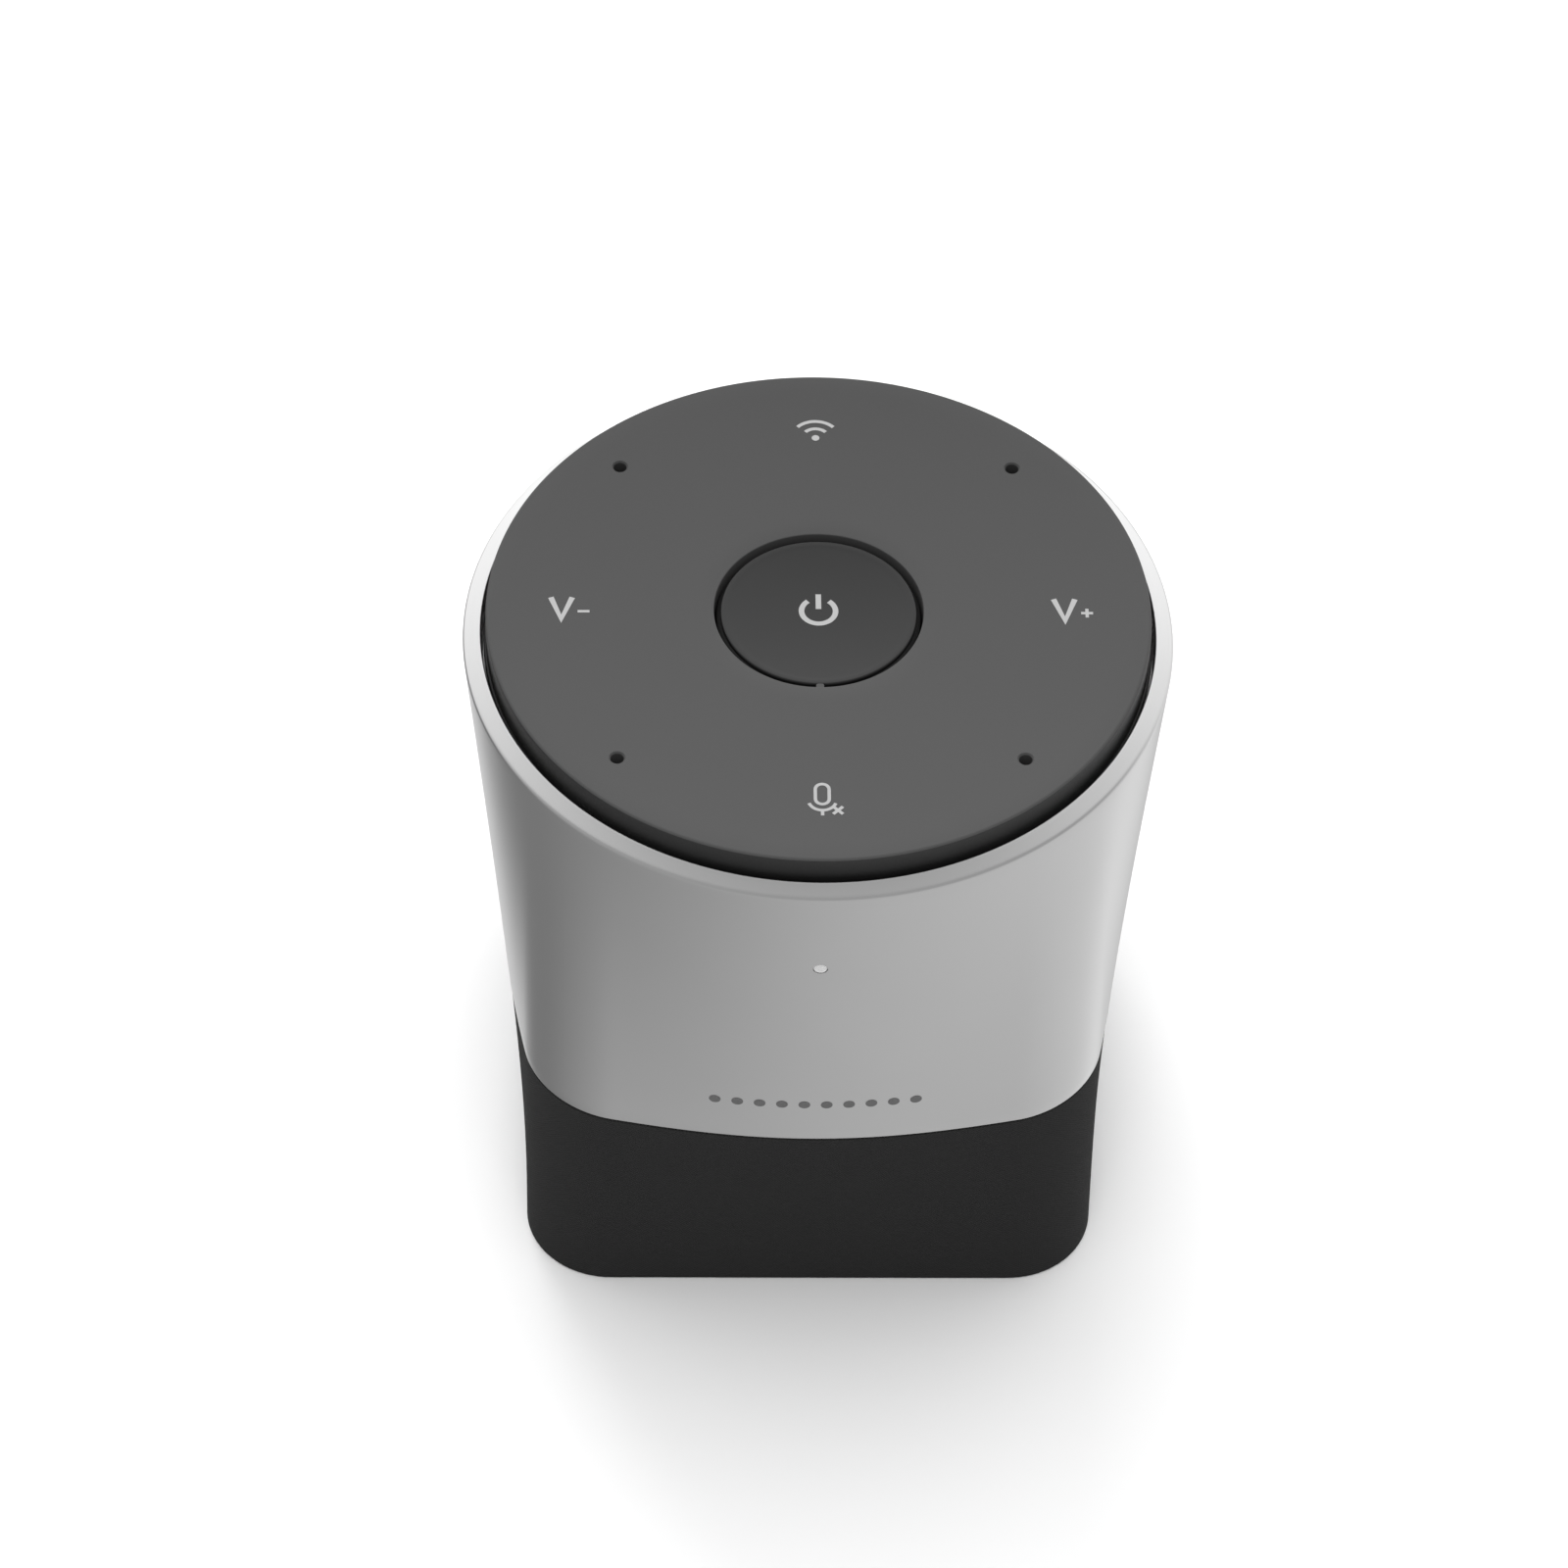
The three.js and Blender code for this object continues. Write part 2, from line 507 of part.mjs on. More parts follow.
// ---------- control panel module ----------
function addControls() {
  const [low, top] = CONTROL_BOARD_Z;
  const holes = atQuarters(BOSS_AT, (x, y) => rod(x, y, BOARD_HOLE_R, low - 1, top + 1));
  add("control_board", shape(disc(BOARD_R, low, top, ROUND_SIDES), [], holes), BOARD);

  const under = PANEL_Z - PANEL_THICKNESS;
  const filmTop = under - 0.1;
  const bossClearances = atQuarters(BOSS_AT, (x, y) => rod(x, y, 3.4, 80, 90));
  const soundHoles = atQuarters([MIC_AT, MIC_AT], (x, y) => rod(x, y, 1.1, 80, 90));
  add("touch_film", shape(ring(15, 39.2, filmTop - 0.3, filmTop, ROUND_SIDES), [],
    [...bossClearances, ...soundHoles]), FILM);
  const capsule = box([-1.8, 1.8], [-1.4, 1.4], [0, 1.1]);
  addAtQuarters("mic_capsule", capsule, STEEL, [MIC_AT, MIC_AT], top + FIT);
  const boot = ring(0.9, 2.8, 0, filmTop - 0.5 - (top + 1.5), SMALL_SIDES);
  addAtQuarters("mic_boot", boot, RUBBER, [MIC_AT, MIC_AT], top + 1.5);

  // Tactile switch under the power button.
  const switchTop = 84.1;
  const well = rod(0, 0, 2, 82.2, switchTop + 1, 12);
  add("power_switch_body", shape(box([-3, 3], [-3, 3], [top + FIT, switchTop]), [], [well]), CHIP);
  add("power_switch_plunger", rod(0, 0, 1.75, 83.2, 85, 12), STEEL);
  add("button_seal", ring(11.4, 14, top + FIT, 81.7, ROUND_SIDES), RUBBER);
  addPanel();
  addButton();
}

function addPanel() {
  const under = PANEL_Z - PANEL_THICKNESS;
  const collarFoot = 83.7;
  const cap = turned([
    [PANEL_SKIRT_R[0], PANEL_SKIRT_Z], [PANEL_SKIRT_R[1], PANEL_SKIRT_Z],
    [PANEL_SKIRT_R[1], 84.4], [PANEL_R, 84.9], [PANEL_R, PANEL_Z - 0.35],
    [PANEL_R - 0.35, PANEL_Z], [BUTTON_BORE_R + 0.25, PANEL_Z], [BUTTON_BORE_R, PANEL_Z - 0.25],
    [BUTTON_BORE_R, collarFoot], [PANEL_COLLAR_R, collarFoot], [PANEL_COLLAR_R, under],
    [PANEL_SKIRT_R[0], under], [PANEL_SKIRT_R[0], PANEL_SKIRT_Z],
  ], BODY_SIDES);
  // Bosses whose pegs pass through the control board, staked over below it.
  const [boardLow, boardTop] = CONTROL_BOARD_Z;
  const bosses = atQuarters(BOSS_AT, (x, y) => turned(
    [[0, boardLow - 1.1], [1.9, boardLow - 1.1], [2.3, boardLow - FIT], [1.2, boardLow - FIT],
      [1.2, boardTop + FIT], [3, boardTop + FIT], [3, under + 0.5], [0, under + 0.5]],
    SMALL_SIDES).translate(x, y, 0));
  // Snap hooks that catch under the sleeve's upper ledge.
  const hookWidth = [-4, 4];
  const hookZ = [UPPER_LEDGE_Z[0] - 0.8, UPPER_LEDGE_Z[0] + 0.2];
  const hooks = [0, 1, 2, 3].flatMap((i) =>
    [box([PANEL_SKIRT_R[0], 40.3], hookWidth, [hookZ[0], PANEL_SKIRT_Z + 0.5]),
      box([PANEL_SKIRT_R[0], 41.9], hookWidth, hookZ)]
      .map((part) => part.rotateZ(Math.PI / 4 + (i * Math.PI) / 2)));
  const key = box([-KEY_WIDTH / 2, KEY_WIDTH / 2],
    [-BUTTON_BORE_R - 0.5, KEY_LENGTH - BUTTON_BORE_R], [83.9, PANEL_Z - 0.3]);
  const micHoles = atQuarters([MIC_AT, MIC_AT], (x, y) => rod(x, y, MIC_HOLE_R, 80, 95));
  add("top_panel", shape(cap, [...bosses, ...hooks, key], micHoles), PANEL_PLASTIC);
}

function addButton() {
  // The dish is an arc of a large sphere between the button's edge and its middle.
  const dishR = (BUTTON_R ** 2 + BUTTON_DISH ** 2) / (2 * BUTTON_DISH);
  const centreZ = BUTTON_EDGE_Z - BUTTON_DISH + dishR;
  const dish = [0.94, 0.65, 0.35, 0].map((share) => {
    const r = BUTTON_R * share;
    return [r, centreZ - Math.sqrt(dishR ** 2 - r ** 2)];
  });
  const cap = turned([
    [0, 85.3], [2.2, 85.3], [2.2, 86.2], [11, 86.2], [11, 82], [BUTTON_FLANGE_R, 82],
    [BUTTON_FLANGE_R, 83.4], [BUTTON_R, 83.4], [BUTTON_R, BUTTON_EDGE_Z - 0.3],
    [BUTTON_R - 0.3, BUTTON_EDGE_Z], ...dish,
  ], ROUND_SIDES);
  const keywayHalf = KEY_WIDTH / 2 + KEY_CLEARANCE;
  const keywayEnd = KEY_LENGTH + KEY_CLEARANCE - BUTTON_BORE_R;
  const keyway = box([-keywayHalf, keywayHalf], [-BUTTON_BORE_R, keywayEnd], [83.6, PANEL_Z]);
  add("power_button", shape(cap, [], [keyway]), BUTTON_PLASTIC);
}

addBase();
addDriver();
addSleeve();
addPort();
addFrame();
addMainBoard();
addLeads();
addControls();

export default speakerphone;
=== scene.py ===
"""Looks of the conference speakerphone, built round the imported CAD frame. Shapes are drawn in
millimetres in the frame's own axes (+Z up, front towards -Y), and each object is then scaled to
metres."""
import json
import math
from math import cos, pi, radians, sin

import bmesh
import bpy
from mathutils import Matrix, Vector


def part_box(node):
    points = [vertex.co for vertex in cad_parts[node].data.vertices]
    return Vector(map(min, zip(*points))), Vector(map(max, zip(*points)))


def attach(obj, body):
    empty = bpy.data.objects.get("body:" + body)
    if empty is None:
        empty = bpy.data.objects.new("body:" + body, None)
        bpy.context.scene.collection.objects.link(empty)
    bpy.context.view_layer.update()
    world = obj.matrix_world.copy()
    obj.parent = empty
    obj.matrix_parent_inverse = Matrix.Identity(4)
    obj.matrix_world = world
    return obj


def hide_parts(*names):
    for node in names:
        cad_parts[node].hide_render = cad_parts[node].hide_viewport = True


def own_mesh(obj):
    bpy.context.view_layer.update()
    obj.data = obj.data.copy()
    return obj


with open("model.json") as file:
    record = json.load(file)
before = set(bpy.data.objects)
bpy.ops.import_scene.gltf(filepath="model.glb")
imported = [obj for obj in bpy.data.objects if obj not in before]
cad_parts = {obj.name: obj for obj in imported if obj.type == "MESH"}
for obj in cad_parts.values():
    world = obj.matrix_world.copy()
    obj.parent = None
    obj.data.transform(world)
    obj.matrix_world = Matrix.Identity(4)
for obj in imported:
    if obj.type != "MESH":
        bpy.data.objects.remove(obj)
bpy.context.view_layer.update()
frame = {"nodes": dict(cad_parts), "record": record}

MM = 0.001
scene = bpy.context.scene


def box_mm(node):
    """A CAD node's lowest and highest corner, in millimetres."""
    low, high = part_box(node)
    return low / MM, high / MM


# ---------- driving dimensions, in millimetres ----------
SLEEVE_LOW, SLEEVE_HIGH = box_mm("sleeve")
PANEL_HIGH = box_mm("top_panel")[1]
CLOTH_HIGH = box_mm("grille_cloth")[1]
BUTTON_HIGH = box_mm("power_button")[1]
BEZEL_LOW, BEZEL_HIGH = box_mm("port_bezel")
LIGHT_LOW, LIGHT_HIGH = box_mm("status_light_pipe")
SEAL_LOW, SEAL_HIGH = box_mm("button_seal")

# The body is round at its rim and a rounded square at the table, and changes evenly between them.
RIM_R = 45.0
RIM_Z = SLEEVE_HIGH.z
BASE_HALF = 37.6
BASE_CORNER_R = 11.3
AROUND = 256  # facets round the body
CORNER_CROWDING = 0.1  # how far, in radians, the facets draw together at the body's corners
ROUND_CORE_R = 28  # anything inside this radius stays round at every height

SLEEVE_FOOT = SLEEVE_LOW.z
SLEEVE_WALL = 2.2
CLOTH_INSET = 0.12  # the cloth lies this far inside the sleeve's skin, and above the table

PANEL_Z = PANEL_HIGH.z
PANEL_R = PANEL_HIGH.x
SIDE_SHADE_DEPTH = 0.25  # painted shade starts this far below the panel's face, as a darker copy of the panel plastic on its side
MIC_AT = 25.2
MIC_HOLE_R = 0.85

BUTTON_BORE_R = 13.2
BUTTON_R = 12.55
BUTTON_EDGE_Z = BUTTON_HIGH.z
BUTTON_DISH = 0.7
# A small key on the panel reaches into a keyway on the button.
KEY_WIDTH = 1.0
KEY_LENGTH = 0.65
KEY_ROOT = 0.3  # how far the key is sunk in the panel, and the radius of its corners
KEY_CLEARANCE = 0.25

LIGHT_Z = (LIGHT_LOW.z + LIGHT_HIGH.z) / 2
LIGHT_R = 0.9
LIGHT_CLEARANCE = 0.04

PORT_Z = (BEZEL_LOW.z + BEZEL_HIGH.z) / 2
PORT_SIZE = (17.0, 11.0)
PORT_CORNER_R = 3.0
PORT_RECESS = (12.9, 7.1)
PORT_RECESS_CORNER_R = 2.2
PORT_FLOOR_Y = 37.1
PORT_GAP = 0.3  # between the port's surround and the sleeve, across both sides

CUT_FROM, CUT_TO = 30, 50  # cutters through the body's wall run from one distance to the other
INK = 0.03  # half the thickness of the printing
DOT_SIDES = 24
SHARP = 32  # edges that turn by more than this many degrees stay sharp


# ---------- camera: a long lens, in front and above ----------
def make_camera():
    lens_mm, sensor_mm = 146.0, 36.0
    distance = 800.7
    pitch, roll, yaw = radians(48.13), radians(1.39), radians(1.61)
    # The middle of the frame lies this far left of and below the panel's middle.
    aim_left, aim_down = 4.38, 21.95
    forward = Vector((0, cos(pitch), -sin(pitch)))
    right = Vector((1, 0, 0))
    up = right.cross(forward)
    rolled_right = cos(roll) * right + sin(roll) * up
    rolled_up = -sin(roll) * right + cos(roll) * up
    aim = Vector((0, 0, PANEL_Z)) - aim_left * rolled_right - aim_down * rolled_up
    place = aim - distance * forward
    turn = Matrix.Rotation(-yaw, 3, "Z")
    axes = Matrix((rolled_right, rolled_up, -forward)).transposed()
    data = bpy.data.cameras.new("camera")
    data.lens = lens_mm
    data.sensor_width = sensor_mm
    data.clip_start = 0.05
    data.clip_end = 20
    camera = bpy.data.objects.new("camera", data)
    scene.collection.objects.link(camera)
    camera.matrix_world = Matrix.Translation(turn @ place * MM) @ (turn @ axes).to_4x4()
    scene.camera = camera


make_camera()


# ---------- the body's changing section ----------
def square_radius(angle):
    c, s = abs(cos(angle)), abs(sin(angle))
    core = BASE_HALF - BASE_CORNER_R
    flat = BASE_HALF / max(c, s)
    if flat * min(c, s) <= core:
        return flat
    along = core * (c + s)
    return along + math.sqrt(along ** 2 - 2 * core ** 2 + BASE_CORNER_R ** 2)


def body_radius(angle, z):
    share = z / RIM_Z
    return (1 - share) * square_radius(angle) + share * RIM_R


def body_point(r, angle, z):
    """Where a point drawn at radius r of the round rim lies on the body's section."""
    stretched = r if r < ROUND_CORE_R else r * body_radius(angle, z) / RIM_R
    return Vector((stretched * cos(angle), stretched * sin(angle), z))


def front_point(x, z, inset=0.0):
    """A point on the body's front face, at x across and z up, this far inside the skin."""
    angle = -pi / 2
    for _ in range(6):
        angle = -pi / 2 + math.asin(x / (body_radius(angle, z) - inset))
    r = body_radius(angle, z) - inset
    return Vector((r * cos(angle), r * sin(angle), z))


# ---------- meshes ----------
def shade(mesh):
    """Shades a mesh smooth, but for its sharp edges."""
    mesh.shade_smooth()
    bm = bmesh.new()
    bm.from_mesh(mesh)
    for edge in bm.edges:
        edge.smooth = len(edge.link_faces) == 2 and edge.calc_face_angle(0) < radians(SHARP)
    bm.to_mesh(mesh)
    bm.free()


def solid(bm, name):
    """An object made from a bmesh that is drawn in millimetres."""
    bmesh.ops.recalc_face_normals(bm, faces=bm.faces)
    mesh = bpy.data.meshes.new(name)
    bm.to_mesh(mesh)
    bm.free()
    mesh.transform(Matrix.Scale(MM, 4))
    shade(mesh)
    o = bpy.data.objects.new(name, mesh)
    scene.collection.objects.link(o)
    return o


def arc(centre, radius, start, end, steps):
    """Points of an arc from one angle to another, in degrees."""
    angles = [radians(start + (end - start) * i / steps) for i in range(steps + 1)]
    return [(centre[0] + radius * cos(a), centre[1] + radius * sin(a)) for a in angles]


def dot(centre, radius):
    """Points round a full circle, the first one not repeated."""
    return arc(centre, radius, 0, 360 - 360 / DOT_SIDES, DOT_SIDES - 1)


def filled(start, end, steps):
    """Points along a straight stretch, without its ends."""
    return [tuple(a + (b - a) * i / steps for a, b in zip(start, end)) for i in range(1, steps)]


def upright(x=0, y=0):
    """Places a turned form on an upright axis through (x, y)."""
    return lambda r, angle, z: Vector((x + r * cos(angle), y + r * sin(angle), z))


def facing_front(r, angle, depth):
    """Places a turned form on the axis of the light, which points to the front."""
    return Vector((r * cos(angle), -depth, LIGHT_Z + r * sin(angle)))


def turned(profile, sides=AROUND, place=None, closed=True):
    """A bmesh turned from (radius, z) points that run outwards along the bottom, up the outside
    and back. place says where a point of the round form goes."""
    place = place or upright()
    bm = bmesh.new()
    rings = []
    for r, z in profile:
        if r < 1e-6:
            rings.append([bm.verts.new(place(0, 0, z))] * sides)
            continue
        ring = []
        for i in range(sides):
            even = 2 * pi * i / sides
            angle = even + (CORNER_CROWDING * sin(4 * even) if place is body_point else 0)
            ring.append(bm.verts.new(place(r, angle, z)))
        rings.append(ring)
    pairs = list(zip(rings, rings[1:])) + ([(rings[-1], rings[0])] if closed else [])
    for lower, upper in pairs:
        for i in range(sides):
            j = (i + 1) % sides
            corners = [lower[i], lower[j], upper[j], upper[i]]
            kept = list(dict.fromkeys(corners))
            if len(kept) > 2:
                bm.faces.new(kept)
    return bm


def rounded_outline(width, height, radius, steps=10):
    """Points of a rectangle with rounded corners, anticlockwise, centred on the origin."""
    r = min(radius, width / 2 - 1e-4, height / 2 - 1e-4)
    points = []
    for i, (sx, sy) in enumerate(((1, 1), (-1, 1), (-1, -1), (1, -1))):
        points += arc((sx * (width / 2 - r), sy * (height / 2 - r)), r, 90 * i, 90 * i + 90, steps)
    return points


def prism(outline, low, high, place, bm=None):
    """A closed prism on an outline, added to bm if that is given. place says where (u, v, depth)
    goes."""
    bm = bm or bmesh.new()
    ends = [[bm.verts.new(place(u, v, d)) for u, v in outline] for d in (low, high)]
    bm.faces.new(ends[0])
    bm.faces.new(ends[1])
    for i in range(len(outline)):
        j = (i + 1) % len(outline)
        bm.faces.new((ends[0][i], ends[0][j], ends[1][j], ends[1][i]))
    return bm


def along_y(z):
    """Places a flat outline upright, facing along Y, centred at height z."""
    return lambda u, v, depth: Vector((u, depth, z + v))


def facing_up(y=0):
    """Places a flat outline level, centred at y."""
    return lambda u, v, depth: Vector((u, y + v, depth))


def combine(o, others, operation):
    """Joins solids to an object, or cuts them from it, with exact booleans."""
    for other in others:
        modifier = o.modifiers.new("combine", "BOOLEAN")
        modifier.operation = operation
        modifier.solver = "EXACT"
        modifier.object = other
    bpy.context.view_layer.update()
    graph = bpy.context.evaluated_depsgraph_get()
    mesh = bpy.data.meshes.new_from_object(o.evaluated_get(graph))
    o.modifiers.clear()
    o.data = mesh
    for other in others:
        bpy.data.objects.remove(other)
    return o


def cutter_of(bm):
    return solid(bm, "cutter")


# ---------- materials ----------
class Nodes:
    """A short way to write the node tree of a material or a world."""

    def __init__(self, owner, shader="Principled BSDF", coordinates="Object"):
        owner.use_nodes = True
        self.owner = owner
        self.tree = owner.node_tree
        self.shader = self.tree.nodes[shader]
        self.where = self.new("ShaderNodeTexCoord").outputs[coordinates]

    def new(self, kind, inputs=None, **settings):
        node = self.tree.nodes.new(kind)
        for key, value in settings.items():
            setattr(node, key, value)
        for key, value in (inputs or {}).items():
            self.put(node, key, value)
        return node

    def put(self, node, key, value):
        if isinstance(value, bpy.types.NodeSocket):
            self.tree.links.new(value, node.inputs[key])
        else:
            node.inputs[key].default_value = value

    def set(self, **values):
        """Sets the shader's own sockets."""
        for key, value in values.items():
            self.put(self.shader, key.replace("_", " "), value)

    def noise(self, scale, detail=3.0, roughness=0.5):
        node = self.new("ShaderNodeTexNoise", {"Vector": self.where, "Scale": scale,
                                               "Detail": detail, "Roughness": roughness})
        return node.outputs["Fac"]

    def ramp(self, value, low, high, from_low=0.3, from_high=0.7):
        """Low up to from_low, high from from_high on, and even between them."""
        node = self.new("ShaderNodeMapRange",
                        {"Value": value, "From Min": from_low, "From Max": from_high,
                         "To Min": low, "To Max": high})
        return node.outputs["Result"]

    def mix(self, share, first, second):
        """A blend of two colours, which are sockets or red, green and blue."""
        node = self.new("ShaderNodeMix", data_type="RGBA")
        # Among this node's sockets, 0 is the share, and the colours are 6 and 7 in and 2 out.
        self.put(node, 0, share)
        for index, value in ((6, first), (7, second)):
            colour = value if isinstance(value, bpy.types.NodeSocket) else (*value, 1)
            self.put(node, index, colour)
        return node.outputs[2]

    def math(self, operation, first, second=0.0):
        node = self.new("ShaderNodeMath", operation=operation)
        self.put(node, 0, first)
        self.put(node, 1, second)
        return node.outputs[0]

    def bump(self, height, distance_mm, strength):
        node = self.new("ShaderNodeBump", {"Height": height, "Distance": distance_mm * MM,
                                           "Strength": strength})
        self.put(self.shader, "Normal", node.outputs["Normal"])


def new_material(name):
    return Nodes(bpy.data.materials.new(name))


def grey(value):
    return (value, value, value)


def paint(o, material):
    o.data.materials.clear()
    o.data.materials.append(material)


def anodised_aluminium():
    m = new_material("anodised_aluminium")
    mottle = m.noise(90, 4)
    grain = m.noise(4200, 2, 0.6)
    m.set(Metallic=1.0)
    m.set(Base_Color=m.mix(mottle, grey(0.65), grey(0.67)))
    m.set(Roughness=m.ramp(grain, 0.29, 0.31))
    m.bump(grain, 0.0012, 0.5)
    return m.owner


def panel_plastic():
    """Grey, with painted shade that makes it a little darker towards the back of the panel."""
    m = new_material("panel_plastic")
    cloud = m.noise(60, 3)
    grain = m.noise(5200, 2, 0.6)
    edge = PANEL_R * MM
    y = m.new("ShaderNodeSeparateXYZ", {"Vector": m.where}).outputs[1]
    # Painted shade: the grey darkens evenly from the front of the panel to its back.
    painted_back_shade = m.mix(m.ramp(y, 0, 1, -edge, edge), grey(0.064), grey(0.046))
    m.set(Base_Color=m.mix(m.math("MULTIPLY", cloud, 0.1), painted_back_shade, grey(0.075)))
    m.set(Roughness=m.ramp(grain, 0.52, 0.62), Specular_IOR_Level=0.25)
    m.bump(grain, 0.010, 0.5)
    return m.owner


def button_plastic():
    m = new_material("button_plastic")
    cloud = m.noise(80, 3)
    grain = m.noise(6000, 2, 0.6)
    m.set(Base_Color=m.mix(cloud, grey(0.009), grey(0.011)))
    m.set(Roughness=m.ramp(grain, 0.36, 0.42), Specular_IOR_Level=0.4)
    m.bump(grain, 0.006, 0.5)
    return m.owner


def acoustic_cloth():
    """Fine plain weave: two sets of threads that cross over and under, with some fuzz."""
    m = new_material("acoustic_cloth")
    x, y, z = m.new("ShaderNodeSeparateXYZ", {"Vector": m.where}).outputs
    pitch, base_radius = 0.42 * MM, 41 * MM
    around = m.math("MULTIPLY", m.math("ARCTAN2", y, x), base_radius)
    warp = m.math("MULTIPLY", around, 2 * pi / pitch)
    weft = m.math("MULTIPLY", z, 2 * pi / pitch)
    woven = m.math("MULTIPLY", m.math("SINE", warp), m.math("SINE", weft))
    fuzz = m.noise(9000, 2)
    height = m.math("ADD", woven, m.math("MULTIPLY", fuzz, 0.8))
    m.set(Base_Color=m.mix(m.ramp(height, 0.0, 1.0, -0.8, 1.6), grey(0.016), grey(0.027)))
    m.set(Roughness=0.92, Specular_IOR_Level=0.1, Sheen_Weight=0.015, Sheen_Roughness=0.6)
    m.bump(height, 0.05, 0.5)
    return m.owner


def scaled(colour, factor):
    return tuple(factor * c for c in colour)


def moulded(name, colour, rough):
    m = new_material(name)
    cloud = m.noise(120, 3)
    grain = m.noise(3500, 2, 0.6)
    m.set(Base_Color=m.mix(cloud, scaled(colour, 0.88), scaled(colour, 1.12)))
    m.set(Roughness=m.ramp(grain, *rough))
    m.bump(grain, 0.015, 0.5)
    return m.owner


def metal(name, colour, rough):
    m = new_material(name)
    streak = m.noise(700, 4, 0.7)
    m.set(Metallic=1.0)
    m.set(Base_Color=m.mix(streak, scaled(colour, 0.88), colour))
    m.set(Roughness=m.ramp(streak, *rough))
    m.bump(streak, 0.008, 0.4)
    return m.owner


def printed_ink(name, value):
    m = new_material(name)
    grain = m.noise(5000, 2)
    m.set(Base_Color=m.mix(grain, grey(value * 0.92), grey(value)))
    m.set(Roughness=m.ramp(grain, 0.5, 0.6))
    return m.owner


def lit_lens():
    m = new_material("lit_lens")
    haze = m.noise(1500, 2)
    m.set(Base_Color=m.mix(haze, grey(0.54), grey(0.62)))
    m.set(Roughness=m.ramp(haze, 0.3, 0.4))
    m.set(Emission_Color=(1, 1, 1, 1), Emission_Strength=0.06)
    return m.owner


ALUMINIUM = anodised_aluminium()
PANEL = panel_plastic()
BUTTON = button_plastic()
CLOTH = acoustic_cloth()
RUBBER = moulded("silicone_rubber", grey(0.022), (0.75, 0.88))
BLACK = moulded("black_plastic", grey(0.022), (0.48, 0.6))
BOARD = moulded("solder_mask", (0.012, 0.09, 0.035), (0.35, 0.5))
CHIP = moulded("chip_package", grey(0.02), (0.45, 0.55))
STEEL = metal("nickel_steel", (0.62, 0.61, 0.59), (0.28, 0.4))
FERRITE = moulded("ferrite", grey(0.045), (0.55, 0.7))
CONE = moulded("pulp_cone", grey(0.025), (0.8, 0.95))
COPPER = metal("copper_winding", (0.80, 0.38, 0.18), (0.22, 0.34))
WRAP = moulded("cell_wrap", (0.03, 0.10, 0.34), (0.28, 0.4))
FILM = moulded("polyimide_film", (0.42, 0.19, 0.04), (0.25, 0.36))
LENS = lit_lens()
# Painted shade: a darker copy of the panel plastic, for the shaded side of the panel.
PANEL_SIDE_SHADE = moulded("panel_side_shade", grey(0.016), (0.4, 0.5))
LEGEND_INK = printed_ink("legend_ink", 0.36)
MARK_INK = printed_ink("mark_ink", 0.12)

SLOT_MATERIALS = {
    "aluminium": ALUMINIUM, "panel_plastic": PANEL, "button_plastic": BUTTON, "cloth": CLOTH,
    "rubber": RUBBER, "black_plastic": BLACK, "board": BOARD, "chip": CHIP, "steel": STEEL,
    "ferrite": FERRITE, "paper_cone": CONE, "copper": COPPER, "cell_wrap": WRAP, "film": FILM,
    "light_guide": LENS,
}
for subpart in frame["record"]["subparts"]:
    paint(frame["nodes"][subpart["node"]], SLOT_MATERIALS[subpart["material_slot"]])


def install(o, material, body, slot, *nodes):
    """Paints a piece, unless it has its paint, rides it on its body and hides the CAD nodes that
    it stands for."""
    if material:
        paint(o, material)
    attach(o, body)
    if nodes:
        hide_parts(*nodes)


# ---------- sleeve ----------
def make_sleeve():
    inside = RIM_R - SLEEVE_WALL
    # The rim's land slopes outwards from a small lip at the mouth to a rounded outer edge.
    mouth, lip, edge, slope = inside - 0.2, 0.15, 0.6, 20
    lean = radians(slope)
    land = (mouth + lip + lip * sin(lean), RIM_Z - lip + lip * cos(lean))
    land_end = RIM_R - edge + edge * sin(lean)
    edge_z = land[1] - (land_end - land[0]) * math.tan(lean) - edge * cos(lean)
    # The panel's snap hooks catch under a ledge inside.
    ledge_r, ledge_top, ledge_low, ledge_root = 41.0, 81.3, 80.6, 79.4
    foot_edge, foot_chamfer = 0.25, 0.2
    mouth_depth, mouth_end = 1.6, 2.0
    profile = [(inside + foot_chamfer, SLEEVE_FOOT)]
    profile += arc((RIM_R - foot_edge, SLEEVE_FOOT + foot_edge), foot_edge, -90, 0, 4)
    profile += filled(profile[-1], (RIM_R, edge_z), 30)
    profile += arc((RIM_R - edge, edge_z), edge, 0, 90 - slope, 8)
    profile += filled(profile[-1], land, 8)
    profile += arc((mouth + lip, RIM_Z - lip), lip, 90 - slope, 180, 6)
    profile += [(mouth, RIM_Z - mouth_depth), (inside, RIM_Z - mouth_end), (inside, ledge_top),
                (ledge_r, ledge_top), (ledge_r, ledge_low), (inside, ledge_root),
                (inside, SLEEVE_FOOT + foot_chamfer)]
    o = solid(turned(profile, place=body_point), "sleeve_skin")
    hole_r = LIGHT_R + LIGHT_CLEARANCE
    hole = [(0, CUT_FROM), (hole_r, CUT_FROM), (hole_r, CUT_TO), (0, CUT_TO)]
    light = turned(hole, sides=40, place=facing_front, closed=False)
    width, height = (side + PORT_GAP for side in PORT_SIZE)
    outline = rounded_outline(width, height, PORT_CORNER_R + 0.1)
    port = prism(outline, CUT_FROM, CUT_TO, along_y(PORT_Z))
    combine(o, [cutter_of(light), cutter_of(port)], "DIFFERENCE")
    shade(o.data)
    install(o, ALUMINIUM, "case", "aluminium", "sleeve")


make_sleeve()


